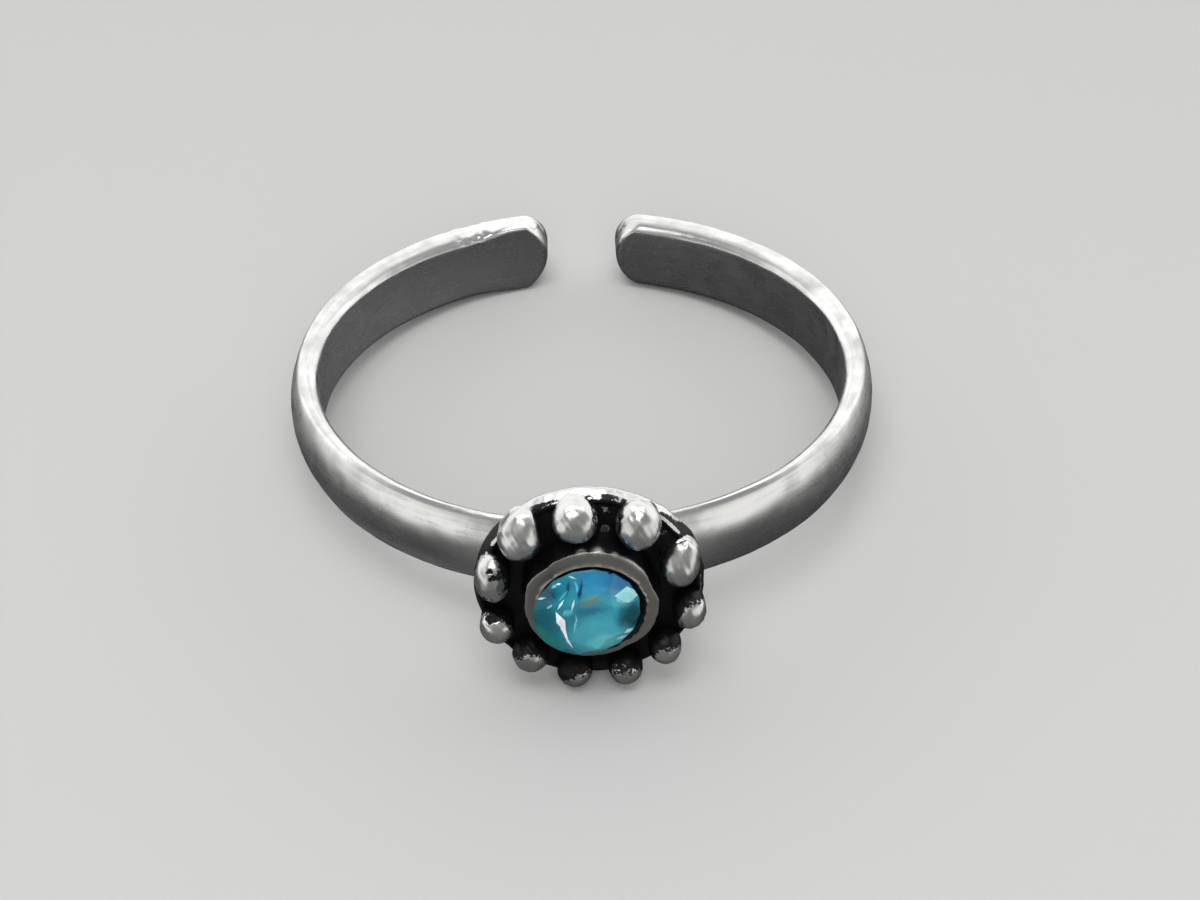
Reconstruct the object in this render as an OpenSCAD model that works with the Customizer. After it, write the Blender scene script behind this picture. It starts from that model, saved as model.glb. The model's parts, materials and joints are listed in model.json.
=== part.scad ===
// Open toe ring in millimetres: a half-round silver band, a round crown edged with
// granules, and a faceted stone in a flat-faced bezel.
// It lies on its side as it rests by itself, on the crown's lowest point and its two band ends.

/* [Band] */
// Diameter of the bore for the toe
bore_d = 15.5; // [14.5:0.1:17.5]
// Width of the band along the bore
band_w = 2.3; // [2:0.02:2.9]
// Thickness of the band at the belly of its half-round face, halfway along each side
band_t = 0.9; // [0.85:0.01:1.3]
// How much thicker the band is at its ends, and thinner under the crown
band_taper = 0.3; // [0:0.01:0.32]
// Rise of the half-round outer face from its edges to its belly
belly_rise = 0.27; // [0.15:0.01:0.29]
// Flat broken along each outer edge of the band
edge_flat = 0.08; // [0.04:0.01:0.1]
// Radius of the rounded inner edges of the band
inner_round = 0.2; // [0.08:0.01:0.22]
// Gap between the two ends of the band
gap_w = 2.25; // [1.5:0.05:4]
// How far the middle of the gap lies from the middle of the ring
gap_shift = 0.17; // [-0.4:0.01:0.4]
// How far the middle of each bowed band end stands out past its corners
end_rise = 0.69; // [0.2:0.01:0.9]

/* [Crown plate] */
// Diameter of the round plate where it is widest, round its back edge
plate_d = 6.06; // [5.6:0.02:6.6]
// Height of that edge above the belly of the band
edge_rise = 0.6; // [0.4:0.02:0.9]
// Height of the plate's side, from that edge to its front
plate_side = 0.45; // [0.3:0.01:0.7]
// How far the side of the plate leans in
side_lean = 0.1; // [0.06:0.01:0.2]
// Width of the bevel round the front of the plate
plate_bevel = 0.06; // [0.03:0.01:0.1]
// Height of the plate's back above the belly of the band, beside the neck
back_rise = 0.36; // [0.1:0.02:0.38]
// Diameter of the neck of the crown where it meets the plate
neck_d = 4.4; // [3.4:0.1:4.8]
// Diameter of the neck where it enters the band
neck_foot_d = 2; // [1.6:0.05:2]
// Depth that the neck enters the band
neck_depth = 0.3; // [0.2:0.02:0.5]

/* [Granules] */
// Diameter of a full-size granule
granule_d = 1.14; // [1:0.02:1.2]
// Height of a full-size granule above the plate
granule_h = 0.8; // [0.6:0.02:0.95]
// How far inside the plate's edge the middles of the granules stand
granule_inset = 0.49; // [0.4:0.01:0.6]
// Width of each granule's foot, as a part of the granule's own width
foot_part = 0.84; // [0.6:0.02:0.96]
// Depth that the foot of each granule enters the plate
foot_depth = 0.1; // [0.04:0.01:0.25]

/* [Bezel and stone] */
// Diameter of the bezel at its flat face
bezel_d = 3.48; // [3.2:0.02:3.6]
// Height of the bezel above the plate
bezel_h = 0.67; // [0.5:0.01:1]
// Extra width of the bezel at its foot
bezel_flare = 0.08; // [0:0.02:0.14]
// Diameter of the seat's mouth in the bezel face
seat_d = 2.7; // [2.5:0.02:2.8]
// Lean of the seat, which brings the left side of the stone forward
seat_lean = 5.5; // [0:0.5:7]
// Sideways place of the seat in the bezel face
seat_x = -0.13; // [-0.15:0.01:0.05]
// Up or down place of the seat in the bezel face
seat_y = -0.1; // [-0.15:0.01:0.05]
// Diameter of the stone
stone_d = 2.82; // [2.5:0.02:3]
// Sideways place of the stone in its seat
stone_x = 0.02; // [-0.05:0.01:0.05]
// Up or down place of the stone in its seat
stone_y = -0.01; // [-0.05:0.01:0.05]
// Turn of the stone about its own axis
stone_turn = -8; // [-22:1:22]
// Clearance between the stone and its seat
stone_gap = 0.03; // [0.01:0.005:0.06]
// Thickness of the stone's girdle
girdle_t = 0.05; // [0.03:0.01:0.12]
// Width of the stone's table
table_d = 1.55; // [1.4:0.05:1.9]
// Slope of the stone's crown
crown_angle = 31; // [26:1:36]
// Slope of the stone's pavilion
pavilion_angle = 41; // [38:1:44]

/* [Hidden] */

// Granules in turn: place on the circle in degrees, distance from the crown's middle
// and size, the last two as parts of the circle's radius and of granule_d
GRANULES = [
    [98, 0.98, 1.03],
    [60.5, 1, 1.05],
    [20, 0.975, 0.95],
    [-13, 1.04, 0.87],
    [-42, 1.04, 0.9],
    [-69.5, 1.03, 0.91],
    [-99.5, 1, 0.92],
    [-130.5, 1, 0.93],
    [-159, 1.02, 0.9],
    [167.5, 1, 0.92],
    [133, 1.02, 1.02]
];

bore_r = bore_d / 2;
half_w = band_w / 2;
belly_r = bore_r + band_t;
edge_r = belly_r - belly_rise;
top_r = edge_r - edge_flat;
// The outer face is turned about an axis moved towards the gap, which tapers the band
front_belly = belly_r - band_taper;
plate_r = plate_d / 2;
plate_edge = front_belly + edge_rise;
plate_back = front_belly + back_rise;
plate_front = plate_edge + plate_side;
bezel_face = plate_front + bezel_h;
circle_r = plate_r - granule_inset;
stone_r = stone_d / 2;
table_r = table_d / 2;
seat_r = seat_d / 2;
overlap = 0.5;
// Where a granule's foot meets its ball, as a part of the ball's radius
foot_join = 0.97;
// Where the halves and mains below the girdle meet, as a part of the stone's radius
lower_part = 0.25;

// Heights of the stone above the mouth of its seat. Its pavilion lies parallel to the cone
// of the seat, off its axis by this much
stone_off = norm([stone_x, stone_y]);
girdle_low = (stone_r + stone_off - seat_r) * tan(pavilion_angle)
    + stone_gap / cos(pavilion_angle);
girdle_high = girdle_low + girdle_t;
table_high = girdle_high + (stone_r - table_r) * tan(crown_angle);

// Columns of the table: a granule's turn in degrees, its distance from the crown's middle
// and its size
function turn_of(g) = g[0];
function away_of(g) = circle_r * g[1];
function size_of(g) = g[2];

// Level, radius and height above the bore's middle of each granule's ball
function ball_r(g) = granule_d * size_of(g) / 2;
function ball_out(g) = plate_front + granule_h * size_of(g) - ball_r(g);
function ball_up(g) = away_of(g) * sin(turn_of(g));

// Radius of the bowed band ends, and the place of their outer corners
end_bow = (half_w * half_w + end_rise * end_rise) / (2 * end_rise);
end_x = gap_w / 2 + abs(gap_shift) + end_rise;
end_y = band_taper + sqrt(top_r * top_r - end_x * end_x);

// The ring leans back until its crown and its band ends share one level.
// A lean is the slope of the line from the ends' lower corners to the foot of a crown piece
function lean_on(out, up, r) =
    let (away = [end_y + out, -half_w - up]) atan2(away[1], away[0]) + asin(r / norm(away));
rest_tilt = max(concat([lean_on(plate_edge, -plate_r, 0)],
    [for (g = GRANULES) lean_on(ball_out(g), ball_up(g), ball_r(g))]));
rest_lift = end_y * sin(rest_tilt) + half_w * cos(rest_tilt);
table_out = bezel_face + table_high * cos(seat_lean) + table_r * sin(seat_lean);
front_reach = table_out * cos(rest_tilt) + table_r * sin(rest_tilt);
back_reach = (belly_r + band_taper) * cos(rest_tilt);
rest_shift = (front_reach - back_reach) / 2;

// Points of an arc about a centre, from one angle to another in equal steps
function arc(c, r, from, to, steps) =
    [for (i = [0 : steps]) let (a = from + (to - from) * i / steps) c + r * [cos(a), sin(a)]];

// Points of a level ring of a cut stone: count corners, the first at angle turn
function gem_ring(r, z, count, turn) =
    [for (i = [0 : count - 1]) let (a = turn + 360 * i / count) [r * cos(a), r * sin(a), z]];

// Solid disc with the half-round outer face of the band
module band_outside() {
    rise_w = half_w - edge_flat;
    bow = (rise_w * rise_w + belly_rise * belly_rise) / (2 * belly_rise);
    lean = asin(rise_w / bow);
    face = arc([belly_r - bow, 0], bow, -lean, lean, 8);
    translate([0, band_taper, 0])
        rotate_extrude($fn = 180)
            polygon(concat([[0, -half_w], [top_r, -half_w]], face, [[top_r, half_w], [0, half_w]]));
}

// Bore with the rounded inner edges of the band
module bore_cut() {
    turn_r = bore_r + inner_round;
    turn_z = half_w - inner_round;
    low = arc([turn_r, -turn_z], inner_round, 270, 180, 3);
    high = arc([turn_r, turn_z], inner_round, 180, 90, 3);
    rotate_extrude($fn = 180)
        polygon(concat([[0, -half_w - overlap], [turn_r, -half_w - overlap]], low, high,
            [[turn_r, half_w + overlap], [0, half_w + overlap]]));
}

// Slot between the band ends, whose two sides are hollowed to leave the ends bowed
module gap_cut() {
    swing = asin(half_w / end_bow);
    side = gap_w / 2 + end_bow;
    bow = arc([side, 0], end_bow, 180 + swing, 180 - swing, 8);
    corner = gap_w / 2 + end_rise;
    right = concat([[corner, -half_w - overlap]], bow, [[corner, half_w + overlap]]);
    left = [for (i = [len(right) - 1 : -1 : 0]) [-right[i][0], right[i][1]]];
    translate([gap_shift, belly_r + band_taper + overlap, 0])
        rotate([90, 0, 0])
            linear_extrude(height = band_t + 2 * band_taper + 2 * overlap)
                polygon(concat(right, left));
}

module band() {
    color("silver")
        difference() {
            band_outside();
            bore_cut();
            gap_cut();
        }
}

// Faces outwards from the front of the ring: x stays, y is up and z points away from the bore
module at_crown() {
    rotate([90, 0, 0])
        children();
}

// Round plate, thick in the middle, on the neck that joins it to the band
module crown_plate() {
    lip_r = plate_r - side_lean;
    color("dimgray")
        at_crown()
            rotate_extrude($fn = 120)
                polygon([[0, front_belly - neck_depth], [neck_foot_d / 2, front_belly - neck_depth],
                    [neck_d / 2, plate_back], [plate_r, plate_edge],
                    [lip_r, plate_front - plate_bevel], [lip_r - plate_bevel, plate_front],
                    [0, plate_front]]);
}

// Ball on a tapered foot that enters the plate
module granule(g) {
    r = ball_r(g);
    foot = plate_front - foot_depth;
    translate([0, 0, ball_out(g)])
        sphere(r = r, $fn = 48);
    translate([0, 0, foot])
        cylinder(r1 = r * foot_part, r2 = r * foot_join, h = ball_out(g) - foot, $fn = 48);
}

module granules() {
    color("gainsboro")
        at_crown()
            for (g = GRANULES)
                rotate([0, 0, turn_of(g)])
                    translate([away_of(g), 0, 0])
                        granule(g);
}

// Thick round cup with a flat face
module bezel() {
    face_r = bezel_d / 2;
    color("gray")
        at_crown()
            translate([0, 0, plate_front - foot_depth])
                cylinder(r1 = face_r + bezel_flare, r2 = face_r, h = bezel_h + foot_depth, $fn = 96);
}

// Starts at the mouth of the stone's seat, with z along the leaning axis of the seat
module at_seat() {
    at_crown()
        translate([seat_x, seat_y, bezel_face])
            rotate([0, seat_lean, 0])
                children();
}

// Cone of the stone's seat, which has the slope of its pavilion and runs down into the plate
module seat_cut() {
    slope = tan(pavilion_angle);
    at_seat()
        translate([0, 0, -seat_r * slope])
            cylinder(r1 = 0, r2 = seat_r + overlap, h = (seat_r + overlap) * slope, $fn = 96);
}

// The soldered silver: band, plate, granules and bezel are one piece of metal
module silver_ring() {
    lay_down() {
        band();
        difference() {
            union() {
                crown_plate();
                bezel();
            }
            seat_cut();
        }
        granules();
    }
}

// Round cut with a flat table: 8 star facets, 8 kites and 16 halves above the girdle,
// 16 halves and 8 mains below it
module cut_stone() {
    half_turn = 22.5;
    star_r = (table_r + stone_r) / 2;
    star_z = girdle_high + (stone_r - star_r * cos(half_turn)) * tan(crown_angle);
    main_r = stone_r * lower_part;
    main_z = girdle_low - (stone_r - main_r * cos(half_turn)) * tan(pavilion_angle);
    tip_z = girdle_low - stone_r * tan(pavilion_angle);
    points = concat(
        gem_ring(table_r, table_high, 8, 0),
        gem_ring(star_r, star_z, 8, half_turn),
        gem_ring(stone_r, girdle_high, 16, 0),
        gem_ring(stone_r, girdle_low, 16, 0),
        gem_ring(main_r, main_z, 8, half_turn),
        [[0, 0, tip_z]]
    );
    faces = concat(
        [[7, 6, 5, 4, 3, 2, 1, 0]],
        [for (i = [0 : 7]) let (j = (i + 1) % 8) [i, j, 8 + i]],
        [for (i = [0 : 7]) let (h = (i + 7) % 8) [i, 8 + i, 16 + 2 * i, 8 + h]],
        [for (i = [0 : 7]) [8 + i, 17 + 2 * i, 16 + 2 * i]],
        [for (i = [0 : 7]) [8 + i, 16 + (2 * i + 2) % 16, 17 + 2 * i]],
        [for (i = [0 : 15]) let (j = (i + 1) % 16) [16 + i, 16 + j, 32 + j, 32 + i]],
        [for (i = [0 : 7]) [48 + i, 32 + 2 * i, 33 + 2 * i]],
        [for (i = [0 : 7]) [48 + i, 33 + 2 * i, 32 + (2 * i + 2) % 16]],
        [for (i = [0 : 7]) let (h = (i + 7) % 8) [48 + h, 32 + 2 * i, 48 + i, 56]]
    );
    polyhedron(points, faces);
}

module stone() {
    color("deepskyblue")
        lay_down()
            at_seat()
                translate([stone_x, stone_y, 0])
                    rotate([0, 0, stone_turn])
                        cut_stone();
}

// Leans the upright-bored ring back and sets it on its lowest points
module lay_down() {
    translate([0, rest_shift, rest_lift])
        rotate([-rest_tilt, 0, 0])
            children();
}

silver_ring();
stone();
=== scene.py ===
import json
import math

import bmesh
import bpy
import numpy as np
from mathutils import Matrix, Vector


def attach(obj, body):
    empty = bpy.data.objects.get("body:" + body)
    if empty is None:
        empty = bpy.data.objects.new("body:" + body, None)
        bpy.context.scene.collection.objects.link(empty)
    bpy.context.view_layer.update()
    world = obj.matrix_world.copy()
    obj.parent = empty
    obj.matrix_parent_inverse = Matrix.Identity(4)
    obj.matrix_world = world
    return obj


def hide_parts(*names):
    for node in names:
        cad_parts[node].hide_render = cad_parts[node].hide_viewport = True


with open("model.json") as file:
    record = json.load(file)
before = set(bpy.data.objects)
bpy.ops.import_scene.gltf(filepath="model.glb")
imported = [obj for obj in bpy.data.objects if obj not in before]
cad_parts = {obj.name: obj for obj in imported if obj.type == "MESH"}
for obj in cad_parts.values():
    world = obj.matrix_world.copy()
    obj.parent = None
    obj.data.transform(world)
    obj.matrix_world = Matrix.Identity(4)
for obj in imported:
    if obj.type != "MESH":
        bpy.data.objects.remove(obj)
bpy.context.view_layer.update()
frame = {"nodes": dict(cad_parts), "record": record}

print("frame loaded:", sorted(frame["nodes"]))

# Sizes below are in millimetres, in the ring's own frame: x to the right, y towards the gap in the
# band, z along the bore. Turns round the band count from the gap towards the right. On the crown,
# places are x, up and out, where out points away from the bore, and turns count from x towards up.
mm = 0.001
weldReach = 1e-7  # metres, points closer than this become one
toeBore = next(m for m in frame["record"]["mounts"] if m["name"] == "toe_bore")
boreMiddle = np.array(toeBore["pos_m"])
boreRadius = toeBore["dims"]["r_mm"]
restTilt = math.atan2(toeBore["axis"][1], toeBore["axis"][2])


def layDown(points):
    # Turns ring points about x by the rest tilt and scales them to metres round the bore's middle.
    x, y, z = points[..., 0], points[..., 1], points[..., 2]
    c, s = math.cos(restTilt), math.sin(restTilt)
    return np.stack([x, y * c + z * s, z * c - y * s], axis=-1) * mm + boreMiddle


def layOnCrown(points):
    # A crown point x, up, out lies at x, minus out, up in the ring's frame.
    return layDown(np.stack([points[..., 0], -points[..., 2], points[..., 1]], axis=-1))


def waves(points, length, seed, count=14):
    # Smooth unevenness from about -1 to 1: a sum of sine waves with seeded directions and phases,
    # whose wavelengths spread round the given length.
    rng = np.random.default_rng(seed)
    way = rng.normal(size=(count, 3))
    way /= np.linalg.norm(way, axis=1, keepdims=True)
    way *= (2 * np.pi / length) * rng.uniform(0.6, 1.7, size=(count, 1))
    phase = rng.uniform(0, 2 * np.pi, size=count)
    return np.sin(points @ way.T + phase).sum(axis=-1) / math.sqrt(count)


def smoothStep(low, high, value):
    # 0 below low, 1 above high, and the cubic 3t^2 - 2t^3 between them.
    t = np.clip((value - low) / (high - low), 0, 1)
    return t * t * (3 - 2 * t)


def spotAt(points, place, reach):
    # A bell curve of the distance from a place, which has two or three of the points' axes.
    return np.exp(-((points[..., :len(place)] - place) ** 2).sum(axis=-1) / reach ** 2)


def within(start, stop, border, value):
    # 1 between start and stop, and 0 outside them, with a soft border inside each.
    return smoothStep(start, start + border, value) * (1 - smoothStep(stop - border, stop, value))


def readRows(at, places, rows):
    # Reads each column of rows that lie at some places, in between them too.
    return np.stack([np.interp(at, places, column) for column in rows.T], axis=1)


def roundedLoop(corners, softness, count, closed=True):
    # A line through corners whose columns are any values: it is sampled finely, blurred along its
    # length by a bell curve as wide as softness, and sampled again closer where it turns more.
    samples = 6  # to one softness
    reach = 3 * samples
    corners = np.asarray(corners, float)
    line = np.vstack([corners, corners[:1]]) if closed else corners
    step = np.linalg.norm(np.diff(line[:, :2], axis=0), axis=1)
    along = np.concatenate([[0], np.cumsum(step)])
    dense = readRows(np.arange(0, along[-1], softness / samples), along, line)
    bell = np.exp(-0.5 * (np.arange(-reach, reach + 1) / samples) ** 2)
    bell /= bell.sum()
    padded = np.pad(dense, ((reach, reach), (0, 0)), mode="wrap" if closed else "edge")
    soft = np.stack([np.convolve(column, bell, "valid") for column in padded.T], axis=1)
    if not closed:
        soft[0], soft[-1] = line[0], line[-1]
    bend = np.linalg.norm(np.gradient(np.gradient(soft[:, :2], axis=0), axis=0), axis=1)
    weight = 1 + 5 * bend / bend.max()
    share = np.concatenate([[0], np.cumsum(weight)])
    at = np.linspace(0, share[-1], count, endpoint=not closed)
    place = np.interp(at, share, np.arange(len(share)))
    soft = np.vstack([soft, soft[:1] if closed else soft[-1:]])
    return readRows(place, np.arange(len(soft)), soft)


def addObject(name, data):
    item = bpy.data.objects.new(name, data)
    bpy.context.scene.collection.objects.link(item)
    return item


def buildPiece(name, points, material, attributes):
    # A grid of points (rows, columns) becomes a tube of quads that is closed along its columns. The
    # first and the last row are each closed with a fan of triangles round their middle.
    rows, columns = points.shape[:2]
    index = np.arange(rows * columns).reshape(rows, columns)
    following = np.roll(index, -1, axis=1)
    quads = np.stack([index[:-1], following[:-1], following[1:], index[1:]], axis=-1).reshape(-1, 4)
    fans = []
    middles = []
    for n, row in enumerate((0, -1)):
        tip = np.full(columns, rows * columns + n)
        fans += np.stack([index[row], following[row], tip], axis=1).tolist()
        middles.append(points[row].mean(axis=0))
    mesh = bpy.data.meshes.new(name)
    mesh.from_pydata(np.vstack([points.reshape(-1, 3), middles]).tolist(), [], quads.tolist() + fans)
    for label, values in attributes.items():
        layer = mesh.attributes.new(label, "FLOAT", "POINT")
        full = np.append(np.ravel(values), [values[0, 0], values[-1, 0]])
        layer.data.foreach_set("value", full.astype(np.float32))
    tidy = bmesh.new()
    tidy.from_mesh(mesh)
    bmesh.ops.remove_doubles(tidy, verts=tidy.verts, dist=weldReach)
    bmesh.ops.recalc_face_normals(tidy, faces=tidy.faces)
    tidy.to_mesh(mesh)
    tidy.free()
    mesh.shade_smooth()
    mesh.materials.append(material)
    piece = addObject(name, mesh)
    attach(piece, "root")
    return piece


def linear(code):
    # An sRGB hex colour such as "c8c4bc" as linear red, green, blue and alpha 1.
    parts = [int(code[i:i + 2], 16) / 255 for i in (0, 2, 4)]
    return tuple(p / 12.92 if p <= 0.04045 else ((p + 0.055) / 1.055) ** 2.4 for p in parts) + (1.0,)


def addNode(tree, kind, settings=None, inputs=None):
    # Adds one node with its settings. An input gets a value, or a link from another node's output.
    node = tree.nodes.new(kind)
    for key, value in (settings or {}).items():
        setattr(node, key, value)
    for key, value in (inputs or {}).items():
        if isinstance(value, bpy.types.NodeSocket):
            tree.links.new(value, node.inputs[key])
        else:
            node.inputs[key].default_value = value
    return node


def addMath(tree, operation, *values):
    return addNode(tree, "ShaderNodeMath", {"operation": operation}, dict(enumerate(values))).outputs[0]


def addVectorMath(tree, operation, *values):
    node = addNode(tree, "ShaderNodeVectorMath", {"operation": operation}, dict(enumerate(values)))
    return node.outputs["Value" if operation in ("LENGTH", "DOT_PRODUCT") else "Vector"]


def addRange(tree, value, low, high, toLow=0.0, toHigh=1.0, kind="LINEAR"):
    # Turns low to high into toLow to toHigh, and stays there beyond them.
    return addNode(tree, "ShaderNodeMapRange", {"interpolation_type": kind}, {
        "Value": value, "From Min": low, "From Max": high, "To Min": toLow, "To Max": toHigh}).outputs[0]


def addMix(tree, share, first, second):
    # Mixes two numbers.
    inputs = {0: share, 2: first, 3: second}
    return addNode(tree, "ShaderNodeMix", {"data_type": "FLOAT"}, inputs).outputs[0]


def addTint(tree, share, first, second, blend="MIX"):
    # Mixes two colours.
    inputs = {0: share, 6: first, 7: second}
    return addNode(tree, "ShaderNodeMix", {"data_type": "RGBA", "blend_type": blend}, inputs).outputs[2]


def splitVector(tree, vector):
    return addNode(tree, "ShaderNodeSeparateXYZ", None, {0: vector}).outputs


def addNoise(tree, place, scale, detail, roughness=0.5):
    inputs = {"Vector": place, "Scale": scale, "Detail": detail, "Roughness": roughness}
    return addNode(tree, "ShaderNodeTexNoise", None, inputs).outputs


def addRamp(tree, value, stops):
    # Stops are positions and sRGB hex colours.
    node = addNode(tree, "ShaderNodeValToRGB", None, {"Fac": value})
    ramp = node.color_ramp
    while len(ramp.elements) < len(stops):
        ramp.elements.new(0.5)
    for element, (place, code) in zip(ramp.elements, stops):
        element.position = place
        element.color = linear(code)
    return node.outputs["Color"]


def addBump(tree, height):
    # Height in metres
    inputs = {"Strength": 1.0, "Distance": 1.0, "Height": height}
    return addNode(tree, "ShaderNodeBump", None, inputs).outputs[0]


def readAttribute(tree, name):
    return addNode(tree, "ShaderNodeAttribute", {"attribute_name": name}).outputs["Fac"]


def startMaterial(name):
    # An empty material, and its node tree and Object coordinates.
    material = bpy.data.materials.new(name)
    material.use_nodes = True
    tree = material.node_tree
    tree.nodes.clear()
    return material, tree, addNode(tree, "ShaderNodeTexCoord").outputs["Object"]


def finishMaterial(tree, inputs):
    shader = addNode(tree, "ShaderNodeBsdfPrincipled", None, inputs).outputs[0]
    addNode(tree, "ShaderNodeOutputMaterial", None, {"Surface": shader})


# Camera at the photograph's angle: elevation and azimuth in the ring's frame, then roll, distance,
# lens and the small sideways and vertical offsets that frame the ring as the photograph does.
shot = {
    "elevation": 35.98,
    "azimuth": -1.18,
    "roll": -0.84,
    "distance": 59.69,  # mm
    "offset": (0.543, -1.9),
    "focalPixels": 1999.6,
    "imageWidth": 1200,
    "sensor": 36.0,  # mm
    "clip": (0.001, 20),  # m
}


def makeCamera():
    # The camera's right, up and back axes come from elevation and azimuth, then turn by the roll.
    e, a, roll = (math.radians(shot[k]) for k in ("elevation", "azimuth", "roll"))
    back = np.array([math.sin(a) * math.cos(e), -math.cos(a) * math.cos(e), math.sin(e)])
    right = np.array([math.cos(a), math.sin(a), 0.0])
    up = np.cross(back, right)
    right, up = right * math.cos(roll) + up * math.sin(roll), up * math.cos(roll) - right * math.sin(roll)
    place = right * shot["offset"][0] + up * shot["offset"][1] + back * shot["distance"]
    turned = [(layDown(v) - layDown(np.zeros(3))) / mm for v in (right, up, back)]
    camera = addObject("camera", bpy.data.cameras.new("camera"))
    rows = np.column_stack([*turned, layDown(place)]).tolist()
    camera.matrix_world = Matrix(rows + [[0, 0, 0, 1]])
    camera.data.sensor_width = shot["sensor"]
    camera.data.lens = shot["focalPixels"] * shot["sensor"] / shot["imageWidth"]
    camera.data.clip_start, camera.data.clip_end = shot["clip"]
    camera.data.dof.use_dof = False
    bpy.context.scene.camera = camera


makeCamera()
print("camera set")


# Silver, cast, blackened in a sulphur bath and rubbed bright by hand. The eye gets a soft shine on what
# stands proud and a deep black in what lies low, with a ragged border that glints.
rubbed = {
    "silver": "d2d2d0",
    "filed": "aaa69f",
    "smear": "6c6a68",
    "oxide": "08080a",
    "silverRough": (0.2, 0.36),
    "filedRough": (0.4, 0.52),
    "roughSpan": (0.35, 0.65),  # the blotches' values over which the roughness rises
    "haze": 0.5,  # how grey the oxide turns next to what is rubbed
    "hazeReach": 0.42,
    "oxideRough": 0.42,
    "oxideGloss": 0.25,
    "patchSize": 0.42,  # mm, blotches along the border of the oxide
    "grainSize": 0.085,  # mm, coarser than real polishing grain, so that it shows
    "patchPull": 0.8,  # how far blotches and grain push the border about
    "grainPull": 0.75,
    "border": (-0.05, 0.07),  # the border's soft width, below and above its middle
    "silverBump": 0.0012,  # mm, as are the next two
    "oxideBump": 0.012,
    "filmStep": 0.009,
}


def makeRubbedSilver(name, colour, roughness):
    # Rub plus blotches times their pull plus grain times its pull: over the middle value it is silver,
    # under it oxide, which is greyer near the border. Burnish mixes in the polished silver's colour.
    # The relief is the grain, deeper on the oxide, and a step up from the oxide to the silver.
    material, tree, place = startMaterial(name)
    rub, burnish = readAttribute(tree, "rub"), readAttribute(tree, "burnish")
    patches = addNoise(tree, place, 1 / (rubbed["patchSize"] * mm), 3.0)["Fac"]
    grain = addNoise(tree, place, 1 / (rubbed["grainSize"] * mm), 3.0, 0.6)["Fac"]
    broken = addMath(tree, "MULTIPLY_ADD", patches, rubbed["patchPull"], rub)
    ragged = addMath(tree, "MULTIPLY_ADD", grain, rubbed["grainPull"], broken)
    middle = 0.5 + 0.5 * (rubbed["patchPull"] + rubbed["grainPull"])
    start, stop = rubbed["border"]
    bright = addRange(tree, ragged, middle + start, middle + stop, kind="SMOOTHSTEP")
    tone = addRamp(tree, bright, [(0.0, rubbed["oxide"]), (0.5, rubbed["smear"]), (1.0, colour)])
    metalTone = addTint(tree, burnish, tone, linear(rubbed["silver"]))
    nearly = addRange(tree, broken, middle - rubbed["hazeReach"], middle, 0.0, rubbed["haze"])
    nearBorder = addMath(tree, "MULTIPLY_ADD", bright, -rubbed["haze"], nearly)
    dull = addRange(tree, patches, *rubbed["roughSpan"], *roughness)
    depth = addMix(tree, bright, rubbed["oxideBump"] * mm, rubbed["silverBump"] * mm)
    relief = addMath(tree, "MULTIPLY", grain, depth)
    finishMaterial(tree, {
        "Specular IOR Level": rubbed["oxideGloss"],
        "Base Color": addTint(tree, nearBorder, metalTone, linear(rubbed["smear"])),
        "Roughness": addMix(tree, bright, rubbed["oxideRough"], dull),
        "Metallic": bright,
        "Normal": addBump(tree, addMath(tree, "MULTIPLY_ADD", bright, rubbed["filmStep"] * mm, relief)),
    })
    return material


# Silver, bent from half-round wire and rubbed along its length. The eye gets a satin, slightly mottled
# sheen with faint streaks that follow the band.
satin = {
    "silver": "e2e2e0",
    "dim": "c6c6c4",
    "rough": (0.2, 0.4),
    "colourSpan": (0.36, 0.6),  # from dim to silver
    "roughSpan": (0.36, 0.62),  # from dull to smooth
    "cloudSize": 0.8,  # mm
    "streakSize": (2.2, 0.12),  # mm along and across the band; real streaks are finer
    "streakShare": 0.4,  # the rest of the mottling is clouds
    "bump": 0.0007,  # mm
}


def makeSatinSilver():
    # Clouds in space and streaks along the band are mixed, and the marks' spots are added. The higher the
    # sum is, the lighter and smoother is the silver. The streaks are its relief too.
    material, tree, place = startMaterial("satinSilver")
    length, width = satin["streakSize"]
    lay = addNode(tree, "ShaderNodeCombineXYZ", None, {
        0: addMath(tree, "DIVIDE", readAttribute(tree, "along"), length),
        1: addMath(tree, "DIVIDE", readAttribute(tree, "across"), width)}).outputs[0]
    streaks = addNoise(tree, lay, 1.0, 2.0)["Fac"]
    clouds = addNoise(tree, place, 1 / (satin["cloudSize"] * mm), 3.0)["Fac"]
    mottling = addMix(tree, satin["streakShare"], clouds, streaks)
    worn = addMath(tree, "ADD", mottling, readAttribute(tree, "wear"))
    smooth, dull = satin["rough"]
    dimAt, brightAt = satin["colourSpan"]
    finishMaterial(tree, {
        "Metallic": 1.0,
        "Base Color": addRamp(tree, worn, [(dimAt, satin["dim"]), (brightAt, satin["silver"])]),
        "Roughness": addRange(tree, worn, *satin["roughSpan"], dull, smooth),
        "Normal": addBump(tree, addMath(tree, "MULTIPLY", streaks, satin["bump"] * mm)),
    })
    return material
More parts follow.
